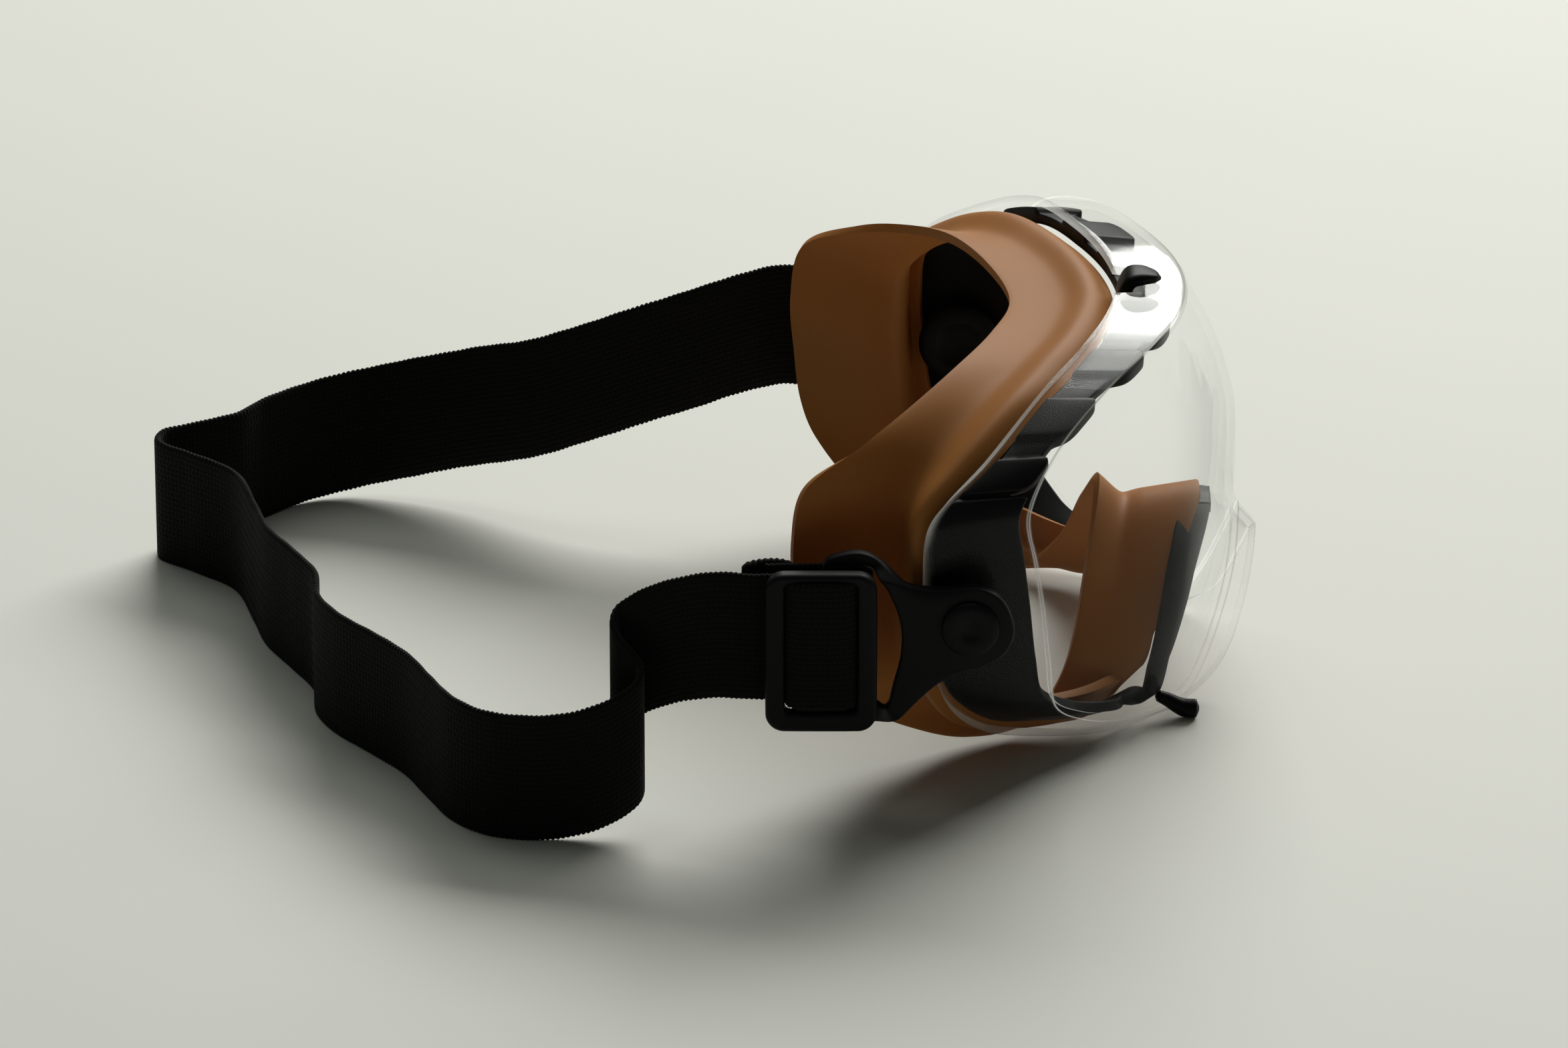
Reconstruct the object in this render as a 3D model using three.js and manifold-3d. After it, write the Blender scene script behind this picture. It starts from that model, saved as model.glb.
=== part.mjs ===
// Wraparound safety goggles: a clear lens over a black vented frame, a soft face seal, two pivoting
// strap clips, one slide buckle and an elastic head strap. Millimetres, +Z up. The lens looks towards
// -Y, +X is the wearer's left. The origin is the middle of the flat pad under the frame's nose bridge.
import * as THREE from 'three';
import { mergeVertices } from 'three/addons/utils/BufferGeometryUtils.js';
import Module from 'manifold-3d';

const wasm = await Module();
wasm.setup();

// Driving dimensions. The outlines below are laid out with z = 0 on the table and y = 0 at the lens's
// brow, and the whole assembly is then moved so that the nose bridge is the origin.
const NOSE_BRIDGE = new THREE.Vector3(0, -3, 37.6);
const LENS_THICKNESS = 2.0;
const FRAME_CLEARANCE = 0.6;
const FRAME_THICKNESS = 2.4;
const SEAL_THICKNESS = 2.0;
const STRAP_WIDTH = 30;
const STRAP_THICKNESS = 1.5;
const PIVOT = { y: 50, z: 47, pinRadius: 4, holeRadius: 4.4 };
const CLIP = { inner: 85.4, outer: 88.4, headRadius: 9.5, inset: 3.9 };
const BUCKLE = { y0: 70.5, y1: 95, z0: 22.8, z1: 60.6, inner: 87, outer: 90.8, corner: 3.5, bar: 4.3, slot: 1.9 };
const RING_STEPS = 96;

const black = () => new THREE.MeshStandardMaterial({ color: 0x17181a, roughness: 0.45, metalness: 0 });
const clear = () => new THREE.MeshStandardMaterial({
  color: 0xf2f6f6, roughness: 0.05, metalness: 0, transparent: true, opacity: 0.3,
});
const orange = () => new THREE.MeshStandardMaterial({ color: 0xb5713c, roughness: 0.6, metalness: 0 });
const webbing = () => new THREE.MeshStandardMaterial({ color: 0x131312, roughness: 0.95, metalness: 0 });

// Outlines of one half, from the top centre round the temple and cheek to the nose arch, as [x, y, z].
// All of them have the same stations, so that a surface can be stretched between any two.
const LENS_CREASE = [
  [0, 0, 91.7], [17, 2.2, 92], [36, 9.2, 91.7], [55, 19, 90], [74, 31, 82], [81, 36.4, 70.5],
  [79, 34.6, 57], [76, 33, 45], [72.5, 31.5, 31], [68.5, 30, 19], [58, 23, 10.6], [46, 13, 5],
  [36, 5.6, 2.4], [28, 0.5, 2.2], [22.5, -5, 12], [13.5, -10.5, 28], [0, -12, 38.5],
];
const LENS_REAR = [
  [0, 16, 93], [17, 18.2, 93], [37, 24.6, 92.5], [56, 33.5, 90.5], [74, 46.5, 81], [84.2, 58.5, 70],
  [85, 60, 57], [84, 59, 45], [82, 57, 31], [76, 53.5, 21], [65, 46, 11], [57, 37, 6.2],
  [44, 18, 1.2], [29.5, 3, 0.2], [20.5, -8.5, 8], [11.5, -14.5, 23], [0, -16.5, 33],
];
// The wall that the frame follows: the lens's own, except round the nose arch.
const FRAME_FRONT = [
  ...LENS_CREASE.slice(0, 12), [38, 12, 3.4], [32, 9.5, 4.4], [26.8, 5.6, 12], [17.4, -1.6, 26.5], [0, -7, 35.6],
];
const FRAME_REAR = [
  ...LENS_REAR.slice(0, 11), [57, 37, 6.8], [45, 20, 3.2], [37, 14.4, 3.4], [30.4, 10.8, 11], [19.4, 6, 26.8], [0, 2, 35.6],
];
const SEAL_COLLAR = [
  [0, 16.5, 86.8], [17, 18.8, 86.8], [36, 25.2, 86.2], [53, 33.6, 84.2], [69.5, 46, 76.4], [78, 57.2, 68],
  [78.6, 58.6, 57], [77.6, 57.8, 45], [76, 56, 32.5], [71.5, 52.6, 25.4], [62.5, 46.4, 16.8], [54.6, 38.6, 12.8],
  [44, 23.4, 10.4], [35.6, 16.4, 9.2], [30.4, 12, 16.4], [18.8, 7.6, 30.8], [0, 3.8, 40.8],
];
const SEAL_RIDGE = [
  [0, 21.5, 90.2], [19, 24.5, 90.2], [38, 31.5, 89.4], [56, 41, 86.6], [71, 52.5, 78.6], [79, 61.5, 69],
  [79.6, 62.5, 57], [78.4, 62, 45], [76.6, 60.6, 31], [71.5, 58, 21.5], [64, 52, 12.4], [56, 43, 7.4],
  [46, 29.4, 4.2], [37, 20, 3.6], [30.8, 15.6, 12.6], [18.4, 11.8, 28], [0, 8.4, 38.6],
];
const SEAL_VALLEY = [
  [0, 28.5, 88.4], [20, 32.2, 88.4], [38, 40.5, 87.2], [52, 49.5, 83.4], [62.5, 58.5, 76.2], [66.5, 65, 68],
  [66.5, 66.5, 57], [66.2, 66.5, 46], [66, 65.5, 34], [64.5, 62.6, 25], [60, 57, 16.5], [54, 49, 9.6],
  [46.5, 37, 5], [39, 26.4, 4], [32.4, 21, 12.4], [18.8, 16.8, 27.6], [0, 14, 37.4],
];
const SEAL_EDGE = [
  [0, 40, 88], [20, 44.5, 88.6], [39, 53, 88], [53, 63, 84.4], [63, 72.5, 78.5], [71, 84.5, 70],
  [72.4, 88, 58], [72.3, 86.6, 46], [71, 83.8, 34], [67.5, 80, 25.4], [61.5, 74, 16.8], [57, 63, 8.4],
  [50, 50, 2.6], [42.5, 37, 2.4], [35, 28.5, 11.4], [19.5, 23.2, 30], [0, 20.5, 43],
];
const HALF_STATIONS = LENS_CREASE.length - 1;
const CORNER_STATION = 5;
const JAW_STATION = 9;

// A closed smooth loop through a half outline and its mirror image. A station number is its parameter.
function loopOf(half) {
  const left = half.map(([x, y, z]) => new THREE.Vector3(x, y, z));
  const right = left.slice(1, -1).reverse().map((p) => new THREE.Vector3(-p.x, p.y, p.z));
  const curve = new THREE.CatmullRomCurve3([...left, ...right], true, 'centripetal');
  const stations = 2 * HALF_STATIONS;
  return (station) => curve.getPoint((((station % stations) + stations) % stations) / stations);
}

// A mesh from a list of points and of triangles.
function solidFrom(points, triangles) {
  const geometry = new THREE.BufferGeometry();
  geometry.setAttribute('position', new THREE.Float32BufferAttribute(points.flatMap((p) => [p.x, p.y, p.z]), 3));
  geometry.setIndex(triangles.flat());
  return geometry;
}

// Unit normals of an open surface, each the mean of the faces that meet there.
function normalsOf(points, triangles) {
  const normals = points.map(() => new THREE.Vector3());
  for (const [a, b, c] of triangles) {
    const side = points[b].clone().sub(points[a]);
    const face = side.cross(points[c].clone().sub(points[a]));
    for (const corner of [a, b, c]) normals[corner].add(face);
  }
  return normals.map((n) => n.normalize());
}

// Gives an open surface a thickness on its inner side and closes the wall round its open edges. With
// `outward` its outer side is moved out too.
function thicken(points, triangles, inward, outward = 0) {
  const normals = normalsOf(points, triangles);
  const outer = points.map((p, i) => p.clone().addScaledVector(normals[i], outward));
  const inner = points.map((p, i) => p.clone().addScaledVector(normals[i], -inward));
  const count = points.length;
  const edges = new Set(triangles.flatMap(([a, b, c]) => [`${a},${b}`, `${b},${c}`, `${c},${a}`]));
  const rim = [];
  for (const edge of edges) {
    const [a, b] = edge.split(',').map(Number);
    if (!edges.has(`${b},${a}`)) rim.push([b, a, a + count], [b, a + count, b + count]);
  }
  const back = triangles.map(([a, b, c]) => [a + count, c + count, b + count]);
  return solidFrom([...outer, ...inner], [...triangles, ...back, ...rim]);
}

// Triangles of a band between two closed rows of points, given by their first numbers and length.
function band(firstRow, secondRow, length) {
  const triangles = [];
  for (let i = 0; i < length; i += 1) {
    const j = (i + 1) % length;
    triangles.push([firstRow + i, firstRow + j, secondRow + j], [firstRow + i, secondRow + j, secondRow + i]);
  }
  return triangles;
}

// A boolean solid of a geometry, and back.
function toManifold(geometry) {
  const bare = geometry.clone();
  bare.deleteAttribute('normal');
  bare.deleteAttribute('uv');
  const merged = mergeVertices(bare, 1e-4);
  return new wasm.Manifold(new wasm.Mesh({
    numProp: 3,
    vertProperties: Float32Array.from(merged.getAttribute('position').array),
    triVerts: Uint32Array.from(merged.index.array),
  }));
}

function toGeometry(manifold) {
  const { vertProperties, triVerts } = manifold.getMesh();
  const geometry = new THREE.BufferGeometry();
  geometry.setAttribute('position', new THREE.BufferAttribute(Float32Array.from(vertProperties), 3));
  geometry.setIndex(Array.from(triVerts));
  return geometry;
}

function cut(geometry, ...tools) {
  const body = tools.reduce((whole, tool) => whole.subtract(toManifold(tool)), toManifold(geometry));
  return toGeometry(body);
}

function join(geometry, ...additions) {
  const body = additions.reduce((whole, addition) => whole.add(toManifold(addition)), toManifold(geometry));
  return toGeometry(body);
}

function boxBetween(low, high) {
  const size = high.map((value, axis) => value - low[axis]);
  const box = new THREE.BoxGeometry(...size);
  return box.translate(...low.map((value, axis) => value + size[axis] / 2));
}

// A round bar along X, centred on the strap clips' pivot axis.
function pivotRod(radius, x0, x1, sides = 24) {
  const rod = new THREE.CylinderGeometry(radius, radius, x1 - x0, sides);
  rod.rotateZ(Math.PI / 2);
  return rod.translate((x0 + x1) / 2, PIVOT.y, PIVOT.z);
}

// One of the frame's two feet: a round bar under the lens's lower edge, and the post that holds it.
function foot(sign, radius) {
  const bar = new THREE.CylinderGeometry(radius, radius, 8 + 2 * radius, 16);
  const x = sign * 34;
  const post = boxBetween([x - radius, 6.5 - radius, 2.2], [x + radius, 6.5 + radius, 8]);
  return join(bar.translate(x, 3.6, 2.2), post);
}

// A flat outline in the YZ plane, thickened along X.
function plateAlongX(shape, x0, x1, curveSegments = 8) {
  const plate = new THREE.ExtrudeGeometry(shape, { depth: x1 - x0, bevelEnabled: false, curveSegments });
  const turn = new THREE.Matrix4().makeBasis(
    new THREE.Vector3(0, 1, 0), new THREE.Vector3(0, 0, 1), new THREE.Vector3(1, 0, 0),
  );
  return plate.applyMatrix4(turn).translate(x0, 0, 0);
}

// Mirror image on the wearer's other side, with its faces turned to point outwards again.
function mirrored(geometry) {
  const copy = geometry.clone().scale(-1, 1, 1);
  if (!copy.index) copy.setIndex([...Array(copy.getAttribute('position').count).keys()]);
  const index = copy.index.array;
  for (let i = 0; i < index.length; i += 3) [index[i + 1], index[i + 2]] = [index[i + 2], index[i + 1]];
  copy.deleteAttribute('normal');
  return copy;
}

const crease = loopOf(LENS_CREASE);
const lensRear = loopOf(LENS_REAR);

// Forward bulge of the lens face beyond the surface stretched between its edges, by height fraction.
const FACE_BULGE = new THREE.CatmullRomCurve3(
  [[0, 0], [0.09, 3.0], [0.25, 4.4], [0.45, 4.6], [0.65, 3.2], [0.85, 1.0], [1, 0]]
    .map(([v, depth]) => new THREE.Vector3(v, depth, 0)),
);
const CHEEK_BULGE = 6.5;

// The lens's outer skin: a bulged face with a return wall all round, which turns into a small lip along
// the nose arch.
function lensSkin() {
  const columns = 32;
  const rows = 12;
  const top = (u) => crease(-CORNER_STATION + 2 * CORNER_STATION * u);
  const bottomSpan = HALF_STATIONS - JAW_STATION;
  const bottom = (u) => crease(-JAW_STATION - 2 * bottomSpan * u);
  const side = (sign, v) => crease(sign * (CORNER_STATION + (JAW_STATION - CORNER_STATION) * v));
  const points = [];
  for (let j = 0; j <= rows; j += 1) {
    for (let i = 0; i <= columns; i += 1) {
      const u = i / columns;
      const v = j / rows;
      const across = side(-1, v).multiplyScalar(1 - u).addScaledVector(side(1, v), u);
      const down = top(u).multiplyScalar(1 - v).addScaledVector(bottom(u), v);
      const corners = top(0).multiplyScalar((1 - u) * (1 - v)).addScaledVector(top(1), u * (1 - v))
        .addScaledVector(bottom(0), (1 - u) * v).addScaledVector(bottom(1), u * v);
      const point = across.add(down).sub(corners);
      const off = Math.abs(2 * u - 1);
      const cheek = CHEEK_BULGE * Math.sin(Math.PI * off ** 1.6) * Math.sin(Math.PI * v) ** 0.8;
      point.y -= FACE_BULGE.getPoint(v).y * (1 - off ** 2) + cheek;
      points.push(point);
    }
  }
  const at = (i, j) => j * (columns + 1) + i;
  const triangles = [];
  for (let j = 0; j < rows; j += 1) {
    for (let i = 0; i < columns; i += 1) {
      triangles.push([at(i, j), at(i, j + 1), at(i + 1, j + 1)], [at(i, j), at(i + 1, j + 1), at(i + 1, j)]);
    }
  }
  const edge = [];
  const stations = [];
  for (let i = 0; i < columns; i += 1) {
    edge.push(at(i, 0));
    stations.push(-CORNER_STATION + 2 * CORNER_STATION * (i / columns));
  }
  for (let j = 0; j < rows; j += 1) {
    edge.push(at(columns, j));
    stations.push(CORNER_STATION + (JAW_STATION - CORNER_STATION) * (j / rows));
  }
  for (let i = columns; i > 0; i -= 1) {
    edge.push(at(i, rows));
    stations.push(-JAW_STATION - 2 * bottomSpan * (i / columns));
  }
  for (let j = rows; j > 0; j -= 1) {
    edge.push(at(0, j));
    stations.push(-CORNER_STATION - (JAW_STATION - CORNER_STATION) * (j / rows));
  }
  const wallSteps = 2;
  let row = edge;
  for (let k = 1; k <= wallSteps; k += 1) {
    const next = stations.map((station, i) => {
      points.push(points[edge[i]].clone().lerp(lensRear(station), k / wallSteps));
      return points.length - 1;
    });
    for (let i = 0; i < row.length; i += 1) {
      const j = (i + 1) % row.length;
      triangles.push([row[i], row[j], next[j]], [row[i], next[j], next[i]]);
    }
    row = next;
  }
  return { points, triangles };
}

// The lens itself, with the holes for the pivot pins, the notch for the hook and room for the feet.
function lens() {
  const { points, triangles } = lensSkin();
  return cut(
    thicken(points, triangles, LENS_THICKNESS),
    pivotRod(PIVOT.holeRadius, -95, 95),
    boxBetween([-7, 9.8, 85], [7, 30, 100]),
    foot(-1, 2.8),
    foot(1, 2.8),
  );
}

// A closed band that follows the wall between two loops, set in from it by `outer` and as thick as
// `inner` - `outer`. `front` and `back` say how much of the wall's width it covers at each station.
function wallBand(frontLoop, rearLoop, { stations, front, back, outer, inner }) {
  const rows = [[], [], [], []];
  const step = 0.05;
  for (const station of stations) {
    const a = frontLoop(station);
    const b = rearLoop(station);
    const across = b.clone().sub(a);
    const along = frontLoop(station + step).add(rearLoop(station + step));
    along.sub(frontLoop(station - step)).sub(rearLoop(station - step));
    const normal = along.cross(across).normalize();
    const place = (fraction, depth) => a.clone().lerp(b, fraction).addScaledVector(normal, -depth);
    rows[0].push(place(front(station), outer(station)));
    rows[1].push(place(back(station), outer(station)));
    rows[2].push(place(back(station), inner(station)));
    rows[3].push(place(front(station), inner(station)));
  }
  const length = stations.length;
  const triangles = rows.flatMap((_, k) => band(k * length, ((k + 1) % 4) * length, length));
  return solidFrom(rows.flat(), triangles);
}

const evenStations = Array.from({ length: RING_STEPS }, (_, i) => (i * 2 * HALF_STATIONS) / RING_STEPS);

// Raised blocks of the vent strip, as the stations they are centred on either side of the brow's middle,
// and their half width.
const BLOCKS = [0, 1.1, 2.1, 3.3, 4.2];
const BLOCK_HALF = 0.31;
const BLOCK_STEP = 0.03;
const STRIP_END = 4.6;
const CHANNEL_DEPTH = 1.3;

// How far a station lies from the middle of the brow, either way round the loop.
const fromBrow = (station) => Math.min(station, 2 * HALF_STATIONS - station);

// True on the blocks; a block's side falls within one small step.
const onBlock = (station) => BLOCKS.some((centre) => Math.abs(fromBrow(station) - centre) < BLOCK_HALF);

// The stations round the frame: two at each side of a block, and the even ones clear of them.
function frameStations() {
  const clearance = 0.08;
  const offsets = [-BLOCK_HALF, BLOCK_HALF].flatMap((side) => [side - BLOCK_STEP / 2, side + BLOCK_STEP / 2]);
  const oneHalf = BLOCKS.flatMap((centre) => offsets.map((offset) => centre + offset)).filter((s) => s > 0);
  const sides = [...oneHalf, ...oneHalf.map((station) => 2 * HALF_STATIONS - station)];
  const clear = evenStations.filter((station) => sides.every((side) => Math.abs(side - station) > clearance));
  return [...sides, ...clear].sort((a, b) => a - b);
}

// The frame: a band inside the lens wall, a vent strip of blocks and channels over the brow with a tooth
// below each block, solid side panels, the nose bridge, a hook over the lens's top edge and two feet.
function frame() {
  const skin = LENS_THICKNESS + FRAME_CLEARANCE;
  const onStrip = (station) => fromBrow(station) < STRIP_END;
  const channel = (station) => (onStrip(station) && !onBlock(station) ? CHANNEL_DEPTH : 0);
  const reach = (station) => (onBlock(station) ? 0.13 : 0.34);
  const body = wallBand(loopOf(FRAME_FRONT), loopOf(FRAME_REAR), {
    stations: frameStations(),
    front: (station) => (onStrip(station) ? reach(station) : 0.1),
    back: () => 0.94,
    outer: (station) => skin + channel(station),
    inner: (station) => skin + FRAME_THICKNESS + (onStrip(station) ? CHANNEL_DEPTH : 0),
  });
  const pad = boxBetween([-5, -6, 37.6], [5, 1.2, 40.2]);
  const hook = [
    boxBetween([-4.4, 10.6, 87.9], [4.4, 14.2, 95.2]),
    boxBetween([-4.4, 7.4, 93.3], [4.4, 14.2, 95.2]),
  ];
  const feet = [-1, 1].map((sign) => foot(sign, 2.2));
  return cut(join(body, pad, ...hook, ...feet), pivotRod(PIVOT.holeRadius, -95, 95));
}

// The face seal: a soft collar behind the frame that widens into the flange lying on the face.
function faceSeal() {
  const loops = [SEAL_COLLAR, SEAL_RIDGE, SEAL_VALLEY, SEAL_EDGE].map(loopOf);
  const spine = (station) => new THREE.CatmullRomCurve3(loops.map((loop) => loop(station)), false, 'centripetal');
  const rows = 7;
  const points = [];
  const columns = evenStations.map((station) => spine(station));
  for (let k = 0; k < rows; k += 1) {
    for (const column of columns) points.push(column.getPoint(k / (rows - 1)));
  }
  const triangles = [];
  for (let k = 0; k < rows - 1; k += 1) triangles.push(...band(k * RING_STEPS, (k + 1) * RING_STEPS, RING_STEPS));
  return thicken(points, triangles, SEAL_THICKNESS);
}

// The wishbone clip on the wearer's left: a round hub on the pivot, two arms and the strap's loop bar.
function strapClip() {
  const { y, z, holeRadius } = PIVOT;
  const outline = new THREE.Shape();
  outline.absarc(y, z, CLIP.headRadius, 1.05, 4.25, false);
  outline.bezierCurveTo(54, 36, 60, 31, 63.5, 27);
  outline.bezierCurveTo(66, 23.6, 68, 22.6, 71, 22.4);
  outline.lineTo(79.5, 22.4);
  outline.absarc(79.5, 25.4, 3, -Math.PI / 2, 0, false);
  outline.lineTo(82.5, 59.8);
  outline.bezierCurveTo(82.5, 61.5, 78, 63, 74, 63);
  outline.bezierCurveTo(70, 63, 68, 57.4, 60.5, 56);
  outline.closePath();
  const window = new THREE.Path();
  window.moveTo(76.5, 60);
  window.lineTo(71.5, 60);
  window.bezierCurveTo(68.5, 57.6, 65, 50, 65, 42);
  window.bezierCurveTo(65, 36, 67.4, 32, 68, 27.2);
  window.lineTo(76.5, 27.2);
  window.closePath();
  const bore = new THREE.Path();
  bore.absarc(y, z, holeRadius, 0, 2 * Math.PI, true);
  outline.holes.push(window, bore);
  const plate = plateAlongX(outline, CLIP.inner, CLIP.outer, 10);
  const position = plate.getAttribute('position');
  for (let i = 0; i < position.count; i += 1) {
    const inset = CLIP.inset * THREE.MathUtils.smoothstep(position.getY(i), 66.5, 71.5);
    position.setX(i, position.getX(i) - inset);
  }
  return plate;
}

// The pivot pin: a headed stud through the clip, the lens and the frame's side panel.
function pivotPin() {
  const head = 6.4;
  const profile = [
    [0, 71.4], [PIVOT.pinRadius, 71.4], [PIVOT.pinRadius, CLIP.outer + 0.3], [head, CLIP.outer + 0.3],
    [head, CLIP.outer + 1], [head - 1.2, CLIP.outer + 1.7], [0, CLIP.outer + 1.9],
  ].map(([radius, along]) => new THREE.Vector2(radius, along));
  const pin = new THREE.LatheGeometry(profile, 24);
  pin.rotateZ(-Math.PI / 2);
  return pin.translate(0, PIVOT.y, PIVOT.z);
}

// The retaining cap that is pushed on the pin's inner end.
function pivotCap() {
  const profile = [[4.3, 72.7], [4.3, 70.4], [8.4, 70.4], [9.4, 71.9], [9, 72.7], [4.3, 72.7]]
    .map(([radius, along]) => new THREE.Vector2(radius, along));
  const cap = new THREE.LatheGeometry(profile, 28);
  cap.rotateZ(-Math.PI / 2);
  return cap.translate(0, PIVOT.y, PIVOT.z);
}

// The slide buckle on the wearer's right: a rounded plate with two slots and a wide middle bar.
function slideBuckle() {
  const { y0, y1, z0, z1, inner, outer, corner, bar, slot } = BUCKLE;
  const outline = new THREE.Shape();
  outline.moveTo(y0 + corner, z0);
  outline.lineTo(y1 - corner, z0);
  outline.quadraticCurveTo(y1, z0, y1, z0 + corner);
  outline.lineTo(y1, z1 - corner);
  outline.quadraticCurveTo(y1, z1, y1 - corner, z1);
  outline.lineTo(y0 + corner, z1);
  outline.quadraticCurveTo(y0, z1, y0, z1 - corner);
  outline.lineTo(y0, z0 + corner);
  outline.quadraticCurveTo(y0, z0, y0 + corner, z0);
  const slots = [y0 + bar, y1 - bar - slot].map((start) => boxBetween(
    [-outer - 1, start, z0 + 4.6],
    [-inner + 1, start + slot, z1 - 1.6],
  ));
  return cut(plateAlongX(outline, -outer, -inner, 6), ...slots);
}

// A flat strap on edge along a path of [x, y, z] centre points, as a closed solid with square ends.
function strapAlong(route, stepsPerSpan, width = STRAP_WIDTH, thickness = STRAP_THICKNESS) {
  const path = new THREE.CatmullRomCurve3(route.map((p) => new THREE.Vector3(...p)), false, 'centripetal');
  const steps = stepsPerSpan * (route.length - 1);
  const rows = [[], [], [], []];
  for (let k = 0; k <= steps; k += 1) {
    const centre = path.getPoint(k / steps);
    const along = path.getTangent(k / steps);
    const side = new THREE.Vector3(along.y, -along.x, 0).normalize().multiplyScalar(thickness / 2);
    const up = new THREE.Vector3(0, 0, width / 2);
    rows[0].push(centre.clone().add(side).add(up));
    rows[1].push(centre.clone().sub(side).add(up));
    rows[2].push(centre.clone().sub(side).sub(up));
    rows[3].push(centre.clone().add(side).sub(up));
  }
  const length = steps + 1;
  const triangles = rows.flatMap((_, k) => {
    const strip = [];
    const [a, b] = [k * length, ((k + 1) % 4) * length];
    for (let i = 0; i < steps; i += 1) strip.push([a + i, a + i + 1, b + i + 1], [a + i, b + i + 1, b + i]);
    return strip;
  });
  const [a, b, c, d] = [0, length, 2 * length, 3 * length];
  triangles.push([a, b, c], [a, c, d], [a + steps, c + steps, b + steps], [a + steps, d + steps, c + steps]);
  return solidFrom(rows.flat(), triangles);
}

const STRAP_LIFT = STRAP_WIDTH / 2;
const WEB_HEIGHT = 43.8;
const OUTER_LAYER = 85.8;
const INNER_LAYER = 80.3;
// The head strap as it lies: from the left clip's bar, back and round on its edge, then through an S
// bend up to the right clip's bar.
const HEAD_STRAP_ROUTE = [
  [OUTER_LAYER, 77, WEB_HEIGHT], [OUTER_LAYER, 84, WEB_HEIGHT], [84, 91, 44.8], [79.5, 101, 44.2],
  [76.5, 112, 41.5], [76, 124, 38.3], [77, 137, 34], [80.5, 150, 29], [86.5, 164, 24.5], [89.5, 178, 20.5],
  [90, 192, 17.2], [86.5, 203, 15.6], [78, 213, 15.1], [70, 219, 15], [64.5, 228, 15], [60, 235.5, 15],
  [54, 236.5, 15], [46.5, 228.5, 15], [36, 218, 15], [18, 212.5, 15], [5, 209, 15], [-8, 202.5, 15],
  [-20, 197, 15], [-32, 196, 15], [-42, 191.5, 15], [-53, 183, 15], [-64, 175, 15], [-76, 169.5, 15],
  [-88, 163.5, 15], [-95, 156, 15], [-97.5, 146, 15], [-97, 136, 16.5], [-95.4, 127.5, 19.5],
  [-92.6, 122, 22], [-89.4, 121.2, 24], [-87.6, 124.5, 26.4], [-86.2, 128.2, 28.8], [-83.8, 130.6, 31],
  [-81.2, 129.8, 33.2], [-81.2, 126, 35.6], [-83, 119.5, 39.2], [-85, 112, 42.3], [-85.7, 105, 43.5],
  [-OUTER_LAYER, 98, WEB_HEIGHT], [-OUTER_LAYER, 88, WEB_HEIGHT], [-OUTER_LAYER, 77, WEB_HEIGHT],
];
// How far back the inner layers reach: the one at the right clip, and the one sewn round the left clip's bar.
const RETURN_REACH = 95;
const LEFT_HEM_REACH = 92;

// The strap's turn round a clip bar: an open U from the outer layer to the inner one.
function barLoop(reach) {
  const middle = (OUTER_LAYER + INNER_LAYER) / 2;
  const layers = [
    [OUTER_LAYER, 76.4], [OUTER_LAYER, 73.9], [OUTER_LAYER - 1.2, 72.6], [middle, 72],
    [INNER_LAYER + 1.2, 72.6], [INNER_LAYER, 73.9], [INNER_LAYER, 80], [INNER_LAYER, reach],
  ].map(([x, y]) => [x, y, WEB_HEIGHT]);
  return strapAlong(layers, 3);
}

// The folded and sewn end of the strap, which holds the slide buckle.
function sewnTab() {
  return boxBetween([-79.2, 82, WEB_HEIGHT - STRAP_LIFT], [-76.8, 99, WEB_HEIGHT + STRAP_LIFT]);
}

const assembly = new THREE.Group();

function add(name, geometry, material) {
  const mesh = new THREE.Mesh(geometry, material);
  mesh.name = name;
  assembly.add(mesh);
  return mesh;
}

add('lens', lens(), clear());
add('frame', frame(), black());
add('face_seal', faceSeal(), orange());
const clip = strapClip();
const pin = pivotPin();
const cap = pivotCap();
add('left_strap_clip', clip, black());
add('right_strap_clip', mirrored(clip), black());
add('left_pivot_pin', pin, black());
add('right_pivot_pin', mirrored(pin), black());
add('left_pivot_cap', cap, black());
add('right_pivot_cap', mirrored(cap), black());
add('right_slide_buckle', slideBuckle(), black());
add('head_strap', strapAlong(HEAD_STRAP_ROUTE, 3), webbing());
add('left_strap_hem', barLoop(LEFT_HEM_REACH), webbing());
add('right_strap_return', mirrored(barLoop(RETURN_REACH)), webbing());
add('right_strap_tab', sewnTab(), webbing());

assembly.position.copy(NOSE_BRIDGE).negate();

const group = new THREE.Group();
group.add(assembly);

export default group;
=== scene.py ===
"""Looks of a pair of wraparound safety goggles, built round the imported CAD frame."""

import bpy
import numpy as np
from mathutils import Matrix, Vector


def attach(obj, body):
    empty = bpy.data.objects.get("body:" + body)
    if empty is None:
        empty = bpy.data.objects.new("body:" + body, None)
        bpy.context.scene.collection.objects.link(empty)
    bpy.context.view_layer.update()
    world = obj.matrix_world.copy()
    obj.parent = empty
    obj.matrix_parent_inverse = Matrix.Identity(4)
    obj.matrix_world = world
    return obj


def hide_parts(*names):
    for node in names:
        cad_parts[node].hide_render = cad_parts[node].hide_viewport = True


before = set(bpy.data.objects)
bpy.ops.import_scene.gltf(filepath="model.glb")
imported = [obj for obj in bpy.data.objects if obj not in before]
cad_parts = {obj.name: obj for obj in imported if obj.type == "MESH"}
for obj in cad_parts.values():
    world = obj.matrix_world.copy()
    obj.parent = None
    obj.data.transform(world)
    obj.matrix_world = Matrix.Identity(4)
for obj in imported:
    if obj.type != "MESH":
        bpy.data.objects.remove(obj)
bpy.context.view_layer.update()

# --- Table, light and camera -------------------------------------------------------------------
# The goggles stand on a pale satin table in front of a large soft window on the wearer's left. The
# side towards the camera is in its own shade, and the shadows fall towards the camera.
TABLE_TOP = -0.0376
AIM = Vector((0, 0.09387, -0.00493))
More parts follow.
